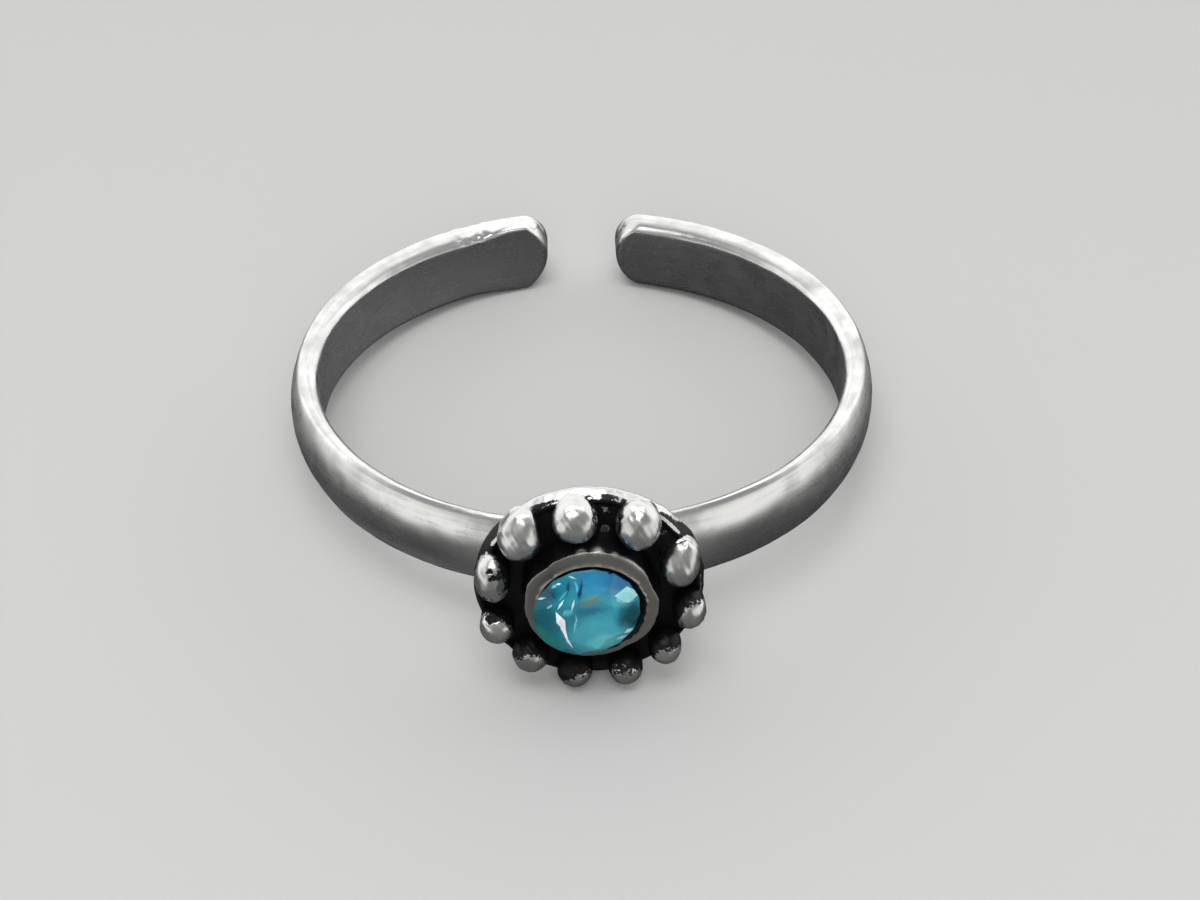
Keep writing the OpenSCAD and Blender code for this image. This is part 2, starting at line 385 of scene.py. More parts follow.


# Transparent blue-green stone, cut and polished. The eye gets hard bright facets over a clear body whose
# colour runs from deep teal at the left to aqua below and blue at the upper right. That colour is partly
# the stone's own and partly painted reflection of its inner facets, with painted glints and painted shadow
# on it.
gem = {
    "left": "166c7a",
    "right": "3c9cb2",
    "colourSpan": (-1.2, 0.5),  # mm, from left to right
    "ior": 1.62,
    "gloss": 0.28,
    "rough": 0.03,
    "transmission": 0.22,
    "bevel": 0.012,  # mm
    # painted shade per face of the stone: each face's colour is multiplied by a tone from this range and
    # the table's by its own, standing in for the light each face catches
    "facetTones": (0.62, 0.95),
    "tableTone": 0.75,
    "veil": 0.5,  # share of the drifting noise that is added to the facets' tones
    "driftScale": 1.7,  # waves of that noise to a mm
    "waver": 0.09,  # mm, how far the patches' borders wander
    "level": 10.4,  # mm out, where the patches' places are measured
    "slant": 0.726,  # the patches run into the stone along this slope
    "crisp": 0.25,  # patches with a border softer than this are ellipses, the others lozenges
    # x and up in mm, half length, half width, turn in degrees, softness of the border, colour; the white
    # and pale ones are painted glints and painted reflections, the near-black ones at the top edge painted
    # shadow
    "patches": [
        (0.85, 1.1, 0.95, 0.6, -35, 0.7, "14659a"),
        (0.1, 1.15, 0.55, 0.45, 0, 0.7, "2680aa"),
        (-1.0, 0.85, 0.65, 0.5, 30, 0.6, "17788e"),
        (-1.3, -0.3, 0.42, 0.75, 0, 0.6, "0f5c69"),
        (-0.95, -0.9, 0.4, 0.3, -40, 0.7, "1c8083"),
        (-1.1, 0.72, 0.3, 0.34, 40, 0.6, "0c5266"),
        (-1.3, -0.6, 0.2, 0.34, 20, 0.6, "177a70"),
        (0.42, 0.76, 0.42, 0.1, -28, 0.7, "3c88b0"),
        (-0.1, 0.12, 0.5, 0.14, 8, 0.7, "2a7896"),
        (0.2, -0.65, 0.85, 0.6, 10, 0.6, "4aa8ba"),
        (0.35, -0.95, 0.5, 0.28, 12, 0.8, "66c0c8"),
        (1.0, -0.05, 0.36, 0.52, -14, 0.6, "145f6f"),
        (1.12, -0.15, 0.22, 0.4, -12, 0.5, "0c4a58"),
        # painted reflection: the pale kite facet at the right
        (0.96, 0.6, 0.36, 0.27, 4, 0.1, "a6e2e4"),
        (0.9, 0.5, 0.2, 0.2, 30, 0.3, "8fd6da"),
        (0.0, 0.45, 0.3, 0.13, 22, 0.8, "6b8c7e"),
        (-0.26, 0.78, 0.36, 0.055, 84, 0.6, "0c3c62"),
        (-0.6, 0.85, 0.3, 0.05, 78, 0.6, "0d4560"),
        # painted glints: white slivers of light on the facets at the left, and pale lines beside them
        (-0.77, -0.2, 0.36, 0.12, -70, 0.1, "f4fcff"),
        (-0.72, -0.42, 0.56, 0.06, -74, 0.12, "f0fafc"),
        (-0.59, -0.88, 0.3, 0.034, -66, 0.2, "e6f8fb"),
        (-0.76, 0.36, 0.2, 0.035, 62, 0.2, "c9ecf0"),
        (-0.45, 0.32, 0.24, 0.033, 78, 0.2, "bfe6ea"),
        (-0.4, -0.25, 0.3, 0.03, 88, 0.6, "86ccd3"),
        (-0.55, 0.1, 0.16, 0.1, 40, 0.7, "5fb6c4"),
        # painted glints, small ones at the upper left
        (-1.25, 0.56, 0.14, 0.035, 14, 0.2, "d4eef0"),
        (-0.8, 1.02, 0.08, 0.04, 10, 0.2, "d4eef0"),
        (-1.02, 0.3, 0.1, 0.03, 50, 0.3, "8cccd6"),
        (-0.45, 1.22, 0.14, 0.03, -28, 0.2, "a6dcec"),
        (-0.36, 0.92, 0.2, 0.03, -78, 0.5, "5cb4e0"),
        (-0.92, 0.93, 0.09, 0.05, 50, 0.3, "64c2cc"),
        (-1.0, 0.72, 0.2, 0.035, -50, 0.5, "083c48"),
        (-0.7, 0.62, 0.16, 0.04, 60, 0.5, "3aa0b8"),
        # painted glints at the lower right
        (0.98, -0.62, 0.15, 0.075, 30, 0.2, "ecfdfd"),
        (0.8, -0.84, 0.18, 0.055, 24, 0.2, "bfeeee"),
        # painted shadow at the top edge, next to the bezel
        (-0.62, 1.36, 0.1, 0.07, 40, 0.2, "05090c"),
        (0.54, 1.33, 0.11, 0.055, 28, 0.2, "05090c"),
    ],
}


def axisOf(x, up, out):
    # The row frame's direction of a crown direction, for dot products that give millimetres.
    way = layOnCrown(np.array([x, up, out], float)) - layDown(np.zeros(3))
    return tuple(way / mm / mm)


def makeGem():
    # Places in the stone are read as x and up in mm. The colour runs from left to right, and each patch
    # covers what is inside its ellipse, whose border wanders with smooth noise, or inside its lozenge.
    # The result is multiplied by a painted shade for each face of the stone plus a faint veil of that
    # noise.
    # The patches include painted glints, painted shadow and painted reflections of the inner facets.
    material, tree, place = startMaterial("blueStone")
    middle = layOnCrown(np.array([0, 0, gem["level"]]))
    local = addVectorMath(tree, "SUBTRACT", place, tuple(middle))
    sideways = addVectorMath(tree, "DOT_PRODUCT", local, axisOf(1, 0, 0))
    upward = addVectorMath(tree, "DOT_PRODUCT", local, axisOf(0, 1, -gem["slant"]))
    flat = addNode(tree, "ShaderNodeCombineXYZ", None, {0: sideways, 1: upward}).outputs[0]
    drift = addNoise(tree, flat, gem["driftScale"], 4.0, 0.6)
    wander = addVectorMath(tree, "SUBTRACT", drift["Color"], (0.5, 0.5, 0.5))
    reach = 4 * gem["waver"]  # the noise mostly stays within a quarter
    spot = addVectorMath(tree, "MULTIPLY_ADD", wander, (reach, reach, 0), flat)
    across = addRange(tree, sideways, *gem["colourSpan"])
    colour = addRamp(tree, across, [(0.0, gem["left"]), (1.0, gem["right"])])
    for x, up, length, width, turn, soft, code in gem["patches"]:
        crisp = soft < gem["crisp"]
        here = addNode(tree, "ShaderNodeMapping", {"vector_type": "TEXTURE"}, {
            "Vector": flat if crisp else spot, "Location": (x, up, 0),
            "Rotation": (0, 0, math.radians(turn)), "Scale": (length, width, 1)}).outputs[0]
        if crisp:
            away = addVectorMath(tree, "DOT_PRODUCT", addVectorMath(tree, "ABSOLUTE", here), (1, 1, 0))
        else:
            away = addVectorMath(tree, "LENGTH", here)
        inside = addRange(tree, away, 1 + soft / 2, 1 - soft, kind="SMOOTHSTEP")
        colour = addTint(tree, inside, colour, linear(code))
    veil = addMath(tree, "MULTIPLY_ADD", drift["Fac"], gem["veil"], readAttribute(tree, "facet"))
    finishMaterial(tree, {
        "Roughness": gem["rough"], "IOR": gem["ior"], "Specular IOR Level": gem["gloss"],
        "Transmission Weight": gem["transmission"],
        "Base Color": addTint(tree, 1.0, colour, veil, "MULTIPLY"),
    })
    return material


silverMaterial = makeRubbedSilver("rubbedSilver", rubbed["silver"], rubbed["silverRough"])
filedMaterial = makeRubbedSilver("filedSilver", rubbed["filed"], rubbed["filedRough"])
bandMaterial = makeSatinSilver()
gemMaterial = makeGem()
print("materials made")


# The band: half-round outside, flat inside with rounded edges, thicker towards its two bowed ends.
band = {
    "width": 2.3,
    "thick": 0.9,
    "taper": 0.3,  # the outside's axis lies this far towards the gap
    "bellyRise": 0.27,
    "edgeFlat": 0.08,
    "innerRound": 0.2,
    "gap": 2.25,
    "gapShift": 0.17,
    "endRise": 0.69,
    "edgeSoft": 0.03,
    "endSoft": 0.13,
    "endRows": (0.25, 0.36),  # mm in from the rim, rows of points on the flat of each end
    "endLine": 0.45,  # mm from the sides, where the section's middle line stops
    "endLimit": 0.92,  # share of the way to that line at which the rows stop
    "around": 620,
    "across": 84,
    "capRows": 7,
    "unevenness": 0.006,
    "dish": (0.1, 0.5),  # mm, how far the sides fall towards the bore, and over what width
    "sharpEdge": (-26.0, -8.5),  # degrees, where the inner edge is hardly rounded
    # flat worn on the upper side along that edge: degrees, width in mm
    "worn": [(-20.0, 0), (-14.5, 0.3), (-11.5, 0.42), (-9.5, 0.36), (-8.0, 0.2)],
    "wornSlope": 9.0,  # degrees
    "wornBorder": 0.09,  # mm
    "cornerPower": 5,  # of the sharp edge; 2 is a round one
    "beaten": (-31.0, -19.0, 0.02),  # hammer marks: from and to in degrees, depth in mm
    # dents in the upper side: degrees, mm from the bore's middle, reach and depth in mm
    "pits": [(87, 8.62, 0.16, 0.03), (85.5, 8.7, 0.1, 0.02), (-27, 8.3, 0.09, 0.02),
             (-24.5, 8.1, 0.07, 0.02)],
    # degrees, height and reach in mm, brighter or duller
    "marks": [(88, 1.1, 0.25, -0.35), (148, 0.7, 1.1, 0.12), (158, 0.5, 0.9, 0.1), (-150, 0.3, 1.3, 0.12),
              (-20, 1.0, 1.5, 0.1)],
    "meanRadius": 8.4,  # mm, turns an angle into a length along the band
}


def bandSection():
    # Columns: radius, height, radius about the bore, radius about the outside's axis, share of the second.
    half = band["width"] / 2
    belly = boreRadius + band["thick"]
    edge = belly - band["bellyRise"]
    top = edge - band["edgeFlat"]
    turnR, turnZ = boreRadius + band["innerRound"], half - band["innerRound"]
    riseW = half - band["edgeFlat"]
    bow = (riseW ** 2 + band["bellyRise"] ** 2) / (2 * band["bellyRise"])
    lean = math.asin(riseW / bow)
    arc = band["innerRound"]
    upper = []
    for a in np.linspace(0, np.pi / 2, 9):
        r = turnR - arc * math.cos(a)
        upper.append([r, turnZ + arc * math.sin(a), r, top, 0.0])
    for share in np.linspace(0, 1, 9)[1:]:
        upper.append([turnR + (top - turnR) * share, half, turnR, top, share])
    outer = []
    for b in np.linspace(lean, -lean, 33):
        r = belly - bow + bow * math.cos(b)
        outer.append([r, bow * math.sin(b), r, r, 1.0])
    lower = [[r, -z, *rest] for r, z, *rest in upper[::-1]]
    return roundedLoop(upper + outer + lower, band["edgeSoft"], band["across"])


def makeBand():
    # Each row is the section at one angle: a point's radius runs from a circle about the bore to a
    # circle about the outside's shifted axis. Rows near an end shrink towards the section's middle
    # line while they move on by a quarter circle, which rounds the end's edges.
    section = bandSection()
    taper, half = band["taper"], band["width"] / 2
    bow = (half ** 2 + band["endRise"] ** 2) / (2 * band["endRise"])
    middleR = boreRadius + band["thick"] / 2
    quarter = np.linspace(0, np.pi / 2, band["capRows"])
    inset = band["endSoft"] * (1 - np.cos(quarter))
    advance = band["endSoft"] * np.sin(quarter)
    inset = np.append(inset[1:], band["endRows"])
    advance = np.append(advance[1:], [band["endSoft"]] * len(band["endRows"]))
    cap = np.stack([inset, advance], axis=1)
    u = np.linspace(0, 1, band["around"])
    shrink = np.concatenate([cap[::-1, 0], np.zeros(len(u)), cap[:, 0]])[:, None]
    onward = np.concatenate([cap[::-1, 1], np.zeros(len(u)), cap[:, 1]])[:, None]
    along = np.concatenate([np.zeros(len(cap)), u, np.ones(len(cap))])[:, None]
    r0, z0, rIn, rOut, share = (section[:, k][None, :] for k in range(5))
    aimZ = np.clip(z0, -half + band["endLine"], half - band["endLine"])
    away = np.hypot(r0 - middleR, z0 - aimZ)
    part = np.minimum(shrink / away, band["endLimit"])
    z = z0 + (aimZ - z0) * part

    def radiusAt(angle):
        # The outside's circle seen from the bore's middle, and the bore's own circle, mixed by share.
        outside = taper * np.cos(angle) + np.sqrt(rOut ** 2 - (taper * np.sin(angle)) ** 2)
        here = (1 - share) * rIn + share * outside
        centre = middleR + taper * np.cos(angle)
        return here + (centre - here) * part

    endX = band["gap"] / 2 + bow - np.sqrt(bow ** 2 - z ** 2) + band["endSoft"] - onward
    near = radiusAt(np.full_like(z, 0.2))
    rightEnd = np.arcsin((endX + band["gapShift"]) / near)
    leftEnd = 2 * np.pi - np.arcsin((endX - band["gapShift"]) / near)
    angle = rightEnd + along * (leftEnd - rightEnd)
    r = radiusAt(angle)
    points = np.stack([r * np.sin(angle), r * np.cos(angle), z + 0 * angle], axis=-1)
    outward = np.stack([np.sin(angle), np.cos(angle), 0 * angle], axis=-1)
    degrees = np.degrees(np.where(angle > np.pi, angle - 2 * np.pi, angle))
    # The sides fall off towards the bore as the square of the distance left to the dish's border.
    # Where the inner edge is sharp there is no dish, and the edge's arc is stretched into its corner:
    # with p as the power, times (cos^p + sin^p)^(-1/p).
    start, stop = band["sharpEdge"]
    sharp = smoothStep(start, stop - 6, degrees) * (1 - smoothStep(stop - 2, stop, degrees))
    drop, reach = band["dish"]
    fall = drop * np.clip(1 - (r - boreRadius) / reach, 0, 1) ** 2 * (1 - sharp)
    points[..., 2] -= fall * np.clip(z / half, -1, 1) ** 3
    inR = np.clip(boreRadius + band["innerRound"] - r, 0, None)
    inZ = np.clip(np.abs(z) - half + band["innerRound"], 0, None) + 0 * r
    arc = np.maximum(np.hypot(inR, inZ), 1e-6)
    power = band["cornerPower"]
    stretch = ((inR / arc) ** power + (inZ / arc) ** power + 1e-9) ** (-1 / power) - 1
    stretch = stretch * sharp * (inR > 0) * (inZ > 0)
    points = points - outward * (stretch * inR)[..., None]
    points[..., 2] += stretch * inZ * np.sign(z)
    turns, widths = np.array(band["worn"]).T
    width = np.interp(degrees, turns, widths, left=0, right=0)
    into = np.hypot(points[..., 0], points[..., 1]) - boreRadius
    slope = math.tan(math.radians(band["wornSlope"]))
    cut = slope * np.clip(into, 0, None) * (width > 0.02)
    cut = cut * (1 - smoothStep(width, width + band["wornBorder"], into))
    points[..., 2] -= cut * (z > half - 0.25)
    start, stop, depth = band["beaten"]
    beaten = within(start, stop, 3, degrees) * smoothStep(0.9, 1.1, z)
    wobble = band["unevenness"] * (waves(points, 2.2, 11) + 0.35 * waves(points, 0.8, 12))
    lift = 0.6 * band["unevenness"] * (waves(points, 1.7, 13) + 0.4 * waves(points, 0.5, 14))
    lift = lift + depth * beaten * waves(points, 0.35, 15)
    points = points + outward * (wobble - band["unevenness"])[..., None]
    points[..., 2] += lift * np.abs(z) / half
    for turn, away, reach, depth in band["pits"]:
        t = math.radians(turn)
        spot = spotAt(points, (away * math.sin(t), away * math.cos(t)), reach)
        points[..., 2] -= depth * spot * (points[..., 2] > 0.6)
    # spots that make the silver lighter and smoother or darker and duller, from the marks
    wear = np.zeros_like(r)
    for turn, height, reach, amount in band["marks"]:
        t = math.radians(turn)
        place = band["meanRadius"] * math.sin(t), band["meanRadius"] * math.cos(t), height
        wear += amount * spotAt(points, place, reach)
    step = np.linalg.norm(np.diff(section[:, :2], axis=0, append=section[:1, :2]), axis=1)
    attributes = {
        "along": angle * band["meanRadius"],
        "across": np.cumsum(step)[None, :] + 0 * r,
        "wear": wear,
    }
    return buildPiece("band", layDown(points), bandMaterial, attributes)


bandPiece = makeBand()
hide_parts("silver_ring")
print("band made")


# The crown's levels, as distances out from the bore's middle
crown = {
    "frontBelly": 8.35,
    "plateBack": 8.71,
    "plateEdge": 8.95,
    "plateFront": 9.40,
    "bezelFace": 10.07,
}

# The round plate on its neck
plate = {
    "radius": 3.03,
    "lean": 0.1,
    "bevel": 0.06,
    "neckRadius": 2.2,
    "footRadius": 1.0,
    "neckDepth": 0.3,
    "trayRadius": 2.8,
    "trayWall": 0.06,
    "trayDepth": 0.11,
    "hollowRadius": 1.55,
    "hollowDepth": 0.62,
    "soft": 0.03,
    "around": 360,
    "along": 90,
    "unevenness": 0.014,
    # x and up in mm, reach in mm, how far the oxide is rubbed away there
    "worn": [(0.43, 2.5, 0.2, 0.56), (0.42, 1.88, 0.15, 0.8), (1.55, 0.41, 0.14, 0.46),
             (1.95, 1.72, 0.2, 0.52), (-1.26, 1.01, 0.12, 0.32), (2.3, 0.9, 0.17, 0.34),
             (-0.3, 2.35, 0.3, 0.2), (-2.2, 0.6, 0.3, 0.2)],
    # x and up in mm, reach in mm, where the rim's bright side wall is chipped and black
    "chips": [(-1.34, 2.75, 0.13), (-1.15, 2.84, 0.07), (0.48, 2.93, 0.1), (0.95, 2.84, 0.1),
              (1.3, 2.72, 0.08), (-2.6, 1.4, 0.1)],
    # from and to in degrees and amount, where a thin line along the rim's border is rubbed bright
    "lines": [(139, 150, 0.6), (152, 160, 0.55), (36, 56, 0.5), (-12, 8, 0.3)],
}
trayLevel = crown["plateFront"] - plate["trayDepth"]


def turnedPoints(profile, around):
    # A profile of radius and level is carried round the out axis: x = r cos, up = r sin.
    angle = np.linspace(0, 2 * np.pi, around, endpoint=False)[None, :]
    r, level = profile[:, 0][:, None], profile[:, 1][:, None]
    return np.stack([r * np.cos(angle), r * np.sin(angle), level + 0 * angle], axis=-1), angle


def makePlate():
    # Turned profile: neck, back, leaning side, bevel, rim, tray and the hollow under the bezel. Its
    # radius and level are then stirred a little by smooth waves.
    lip = plate["radius"] - plate["lean"]
    front = crown["plateFront"]
    foot = crown["frontBelly"] - plate["neckDepth"]
    profile = roundedLoop([
        (0.02, foot),
        (plate["footRadius"], foot),
        (plate["neckRadius"], crown["plateBack"]),
        (plate["radius"], crown["plateEdge"]),
        (lip, front - plate["bevel"]),
        (lip - plate["bevel"], front),
        (plate["trayRadius"], front),
        (plate["trayRadius"] - plate["trayWall"], trayLevel),
        (plate["hollowRadius"], trayLevel),
        (0.02, front - plate["hollowDepth"]),
    ], plate["soft"], plate["along"], closed=False)
    points, angle = turnedPoints(profile, plate["around"])
    stir = waves(points, 1.3, 21) + 0.5 * waves(points, 0.45, 22)
    radius = np.hypot(points[..., 0], points[..., 1])
    grow = 1 + plate["unevenness"] * stir * smoothStep(2.0, 2.8, radius) / np.maximum(radius, 1)
    points[..., :2] *= grow[..., None]
    points[..., 2] += 0.4 * plate["unevenness"] * waves(points, 0.9, 23) * smoothStep(1.9, 2.2, radius)
    # Rubbed: the side wall at the top, thin lines along the lip, some places on the front, and the back
    level = profile[:, 1][:, None]
    height = np.sin(angle)
    degrees = np.degrees((angle + np.pi) % (2 * np.pi) - np.pi)
    lipLine = np.exp(-((radius - lip + 0.02) / 0.05) ** 2 - ((level - front + 0.03) / 0.06) ** 2)
    line = 0.4 + 0.22 * height
    for start, stop, amount in plate["lines"]:
        line = line + amount * within(start, stop, 2, degrees)
    side = smoothStep(lip - 0.06, lip, radius) * smoothStep(0.5, 0.85, height) * 1.15
    side = side * (1 - 0.62 * smoothStep(front - 0.34, front - 0.1, level))
    atLip = np.exp(-((level - front + 0.02) / 0.14) ** 2)
    back = 1 - smoothStep(front - 0.5, front - 0.3, level) + 0 * radius
    rub = np.maximum.reduce([line * lipLine, side, 0.9 * back])
    for x, up, reach, amount in plate["worn"]:
        rub += amount * spotAt(points, (x, up), reach) * (level > front - 0.2)
    for x, up, reach in plate["chips"]:
        rub -= 0.9 * atLip * spotAt(points, (x, up), reach)
    return buildPiece("crownPlate", layOnCrown(points), silverMaterial, {"rub": rub})


platePiece = makePlate()
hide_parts("silver_ring")
print("crown plate made")


# The granules. Each has its turn in degrees, its distance from the crown's middle and its size as
# shares, a shift in mm and a stretch sideways and up. Its marks each start with a direction (x, up,
# out): what is rubbed bright (reach in degrees, how crisp the border is), flats (share of the radius
# that is left), a pull (share of the radius) and black dents (reach in degrees, share of the radius).
granule = {
    "diameter": 1.14,
    "height": 0.8,
    "circle": 5.08,
    "around": 72,
    "along": 56,
    "unevenness": 0.022,
    "soft": 0.02,
    # the foot: share of the ball's radius, share of the way from its middle down to the tray
    "foot": [(0.995, 0.25), (0.97, 0.55), (0.94, 0.8), (0.92, 0.95), (0.95, 1.05)],
    "footDepth": 0.08,  # mm below the tray
    "flatShare": 0.85,  # share of what stands out past a flat that is taken off
    "rubSlope": 1.6,
    "table": [
        (98, 0.98, 1.03, (0, -0.01), (1, 1),
         {"rubbed": [(0, 0.75, 0.65, 129, 1)], "dents": [(0.93, 0.3, 0.2, 17, 0.1)]}),
        (60.5, 1, 1.05, (0.01, 0.04), (0.985, 1.1),
         {"rubbed": [(0.2, 0.75, 0.65, 126, 1)], "flats": [(-0.9, 0.2, 0.3, 0.95)],
          "dents": [(-0.9, 0.38, 0.15, 17, 0.1)]}),
        (20, 0.975, 0.95, (0, 0.05), (0.95, 1.08),
         {"rubbed": [(0.25, 0.6, 0.75, 114, 1)], "pull": [(0.35, 0.9, -0.2, 0.35)],
          "dents": [(0.1, 0.95, -0.1, 19, 0.12)]}),
        (-13, 1.04, 0.87, (0.02, 0), (0.9, 1.14),
         {"rubbed": [(0.55, -0.4, 0.74, 74, 0.6)]}),
        (-42, 1.04, 0.9, (0, -0.07), (0.87, 0.93),
         {"rubbed": [(0.3, -0.62, 0.72, 64, 0.5)], "flats": [(-0.2, 0.1, 1, 0.92)]}),
        (-69.5, 1.03, 0.91, (0, -0.07), (0.9, 0.93),
         {"rubbed": [(0.1, -0.6, 0.78, 66, 0.35)], "flats": [(0, 0, 1, 0.93)]}),
        (-99.5, 1, 0.92, (-0.01, -0.06), (0.9, 0.93),
         {"rubbed": [(0.15, -0.6, 0.78, 64, 0.55)]}),
        (-130.5, 1, 0.93, (0.05, -0.04), (0.9, 0.93),
         {"rubbed": [(-0.05, -0.62, 0.78, 64, 0.5)], "flats": [(-0.2, -0.2, 1, 0.82)]}),
        (-159, 1.02, 0.9, (-0.02, -0.04), (0.91, 0.92),
         {"rubbed": [(-0.4, -0.3, 0.8, 88, 0.7)], "dents": [(-0.33, 0.87, 0.37, 22, 0.12)]}),
        (167.5, 1, 0.92, (-0.01, 0.07), (0.9, 1.28),
         {"rubbed": [(-0.75, 0.5, 0.5, 66, 0.6), (0.1, 0.3, 0.95, 34, 0.5),
                     (-0.3, -0.7, 0.65, 52, 0.25)],
          "flats": [(0.6, 0, 0.7, 0.86), (-0.1, -0.45, 0.9, 0.88)],
          "dents": [(-0.05, 0.58, 0.8, 15, 0.05)]}),
        (133, 1.02, 1.02, (0.01, 0.05), (0.98, 1.1),
         {"rubbed": [(-0.4, 0.7, 0.65, 124, 1)], "pull": [(0.3, 0.92, -0.25, 0.22)],
          "flats": [(0.977, 0.17, -0.12, 0.82)]}),
    ],
}


def unit(way):
    return np.array(way, float) / np.linalg.norm(way)


def makeGranule(number, turn, away, size, shift, stretch, marks):
    # The profile follows the ball from its tip to its waist, then the foot down into the tray. Smooth
    # waves, the pull, flats and dents change it, and then it is stretched and moved to its place.
    r = granule["diameter"] * size / 2
    centre = crown["plateFront"] + granule["height"] * size - r
    a = np.linspace(0.02, np.pi / 2, 26)
    ball = np.stack([r * np.sin(a), centre + r * np.cos(a)], axis=1)
    foot = [(r * share, centre + (trayLevel - centre) * down) for share, down in granule["foot"]]
    bottom = trayLevel - granule["footDepth"]
    profile = np.vstack([ball, foot, [(r * 0.9, bottom), (0.02, bottom)]])
    profile = roundedLoop(profile, granule["soft"], granule["along"], closed=False)
    points, _ = turnedPoints(profile, granule["around"])
    heart = np.array([0, 0, centre])
    normal = points - heart
    normal /= np.linalg.norm(normal, axis=-1, keepdims=True)
    stir = waves(points + number * 7.0, 0.8, 31) + 0.5 * waves(points + number * 7.0, 0.3, 32)
    points = points + normal * (granule["unevenness"] * stir * r)[..., None]
    for x, up, out, share in marks.get("pull", []):
        way = unit((x, up, out))
        points = points + way * (share * r * smoothStep(0.3, 1.0, normal @ way))[..., None]
    for x, up, out, left in marks.get("flats", []):
        way = unit((x, up, out))
        over = (points - heart) @ way - left * r
        over = np.where(over > 0, over * granule["flatShare"], 0)
        points = points - over[..., None] * way
    rub = np.full(points.shape[:2], -1.0)
    for x, up, out, reach, crisp in marks["rubbed"]:
        facing = normal @ unit((x, up, out))
        inside = facing - math.cos(math.radians(reach))
        rub = np.maximum(rub, 0.5 + granule["rubSlope"] * crisp * inside)
    for x, up, out, reach, depth in marks.get("dents", []):
        rim = math.cos(math.radians(reach))
        ragged = 0.7 * (1 - rim) * waves(points + number * 5.0, 0.22, 33)
        pit = smoothStep(rim, 1, normal @ unit((x, up, out)) + ragged)
        points = points - normal * (depth * r * pit)[..., None]
        rub = rub - granule["rubSlope"] * pit
    t = math.radians(turn)
    away = granule["circle"] / 2 * away
    points[..., 0] = points[..., 0] * stretch[0] + away * math.cos(t) + shift[0]
    points[..., 1] = points[..., 1] * stretch[1] + away * math.sin(t) + shift[1]
    return buildPiece(f"granule{number}", layOnCrown(points), silverMaterial, {"rub": rub})


granulePieces = [makeGranule(n + 1, *row) for n, row in enumerate(granule["table"])]
for piece in granulePieces:
    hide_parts("silver_ring")
print("granules made:", len(granulePieces))


# The bezel: a thick cup with a flat face; its conical seat leans with the stone
bezel = {
    "faceRadius": 1.74,
    "flare": 0.08,
    "seatRadius": 1.35,
    "seatX": -0.13,
    "seatUp": -0.1,
    "seatLean": 5.5,  # degrees, as is the next
    "pavilion": 41.0,
    "wallUnder": 0.06,  # mm of metal under the seat
    "around": 288,
    "unevenness": 0.004,
    "lip": 0.04,  # the seat's mouth stands up by this share of the cone's length
    "lipWidth": 0.24,  # share of the face over which it falls back
    "faceRub": 0.78,  # how far the face is rubbed bright
    "rubFall": 12.0,  # and how fast that falls off, per mm below the face
    # the outer edge is filed by hand: turn in degrees and share of the radius there
    "edge": [(3, 1.022), (14.6, 0.975), (27, 0.975), (36.5, 1), (49, 1.008), (64.6, 1.014),
             (78, 1.004), (95, 0.998), (101, 0.994), (110, 0.984), (122.8, 0.99), (130, 0.962),
             (148, 0.997), (157, 1.012), (170, 0.973), (184, 0.977), (194, 0.969), (240, 1), (270, 1),
             (304, 0.985), (313, 1.006), (330, 1.034), (342, 1.03)],
    # burrs along the upper edge: turn in degrees, reach, rise and drop below the face in mm
    "burrs": [(97, 0.085, 0.01, 0.1), (83, 0.1, 0.012, 0.12), (68, 0.06, 0.005, 0.07),
              (50, 0.35, 0.003, 0.05)],
    "edgeRound": 0.035,
    "footRadius": 1.5,
    "footDepth": 0.04,  # mm below the tray
    # rows of points: shares of the seat, of the face and of the wall
    "seatRows": (0.02, 0.3, 0.6, 0.85, 0.97, 0.995),
    "faceRows": (0.02, 0.05, 0.1, 0.16, 0.24, 0.4, 0.6, 0.8, 1.0),
    "wallRows": (0.03, 0.07, 0.11, 0.16, 0.22, 0.3, 0.6, 0.9, 1.0),
}


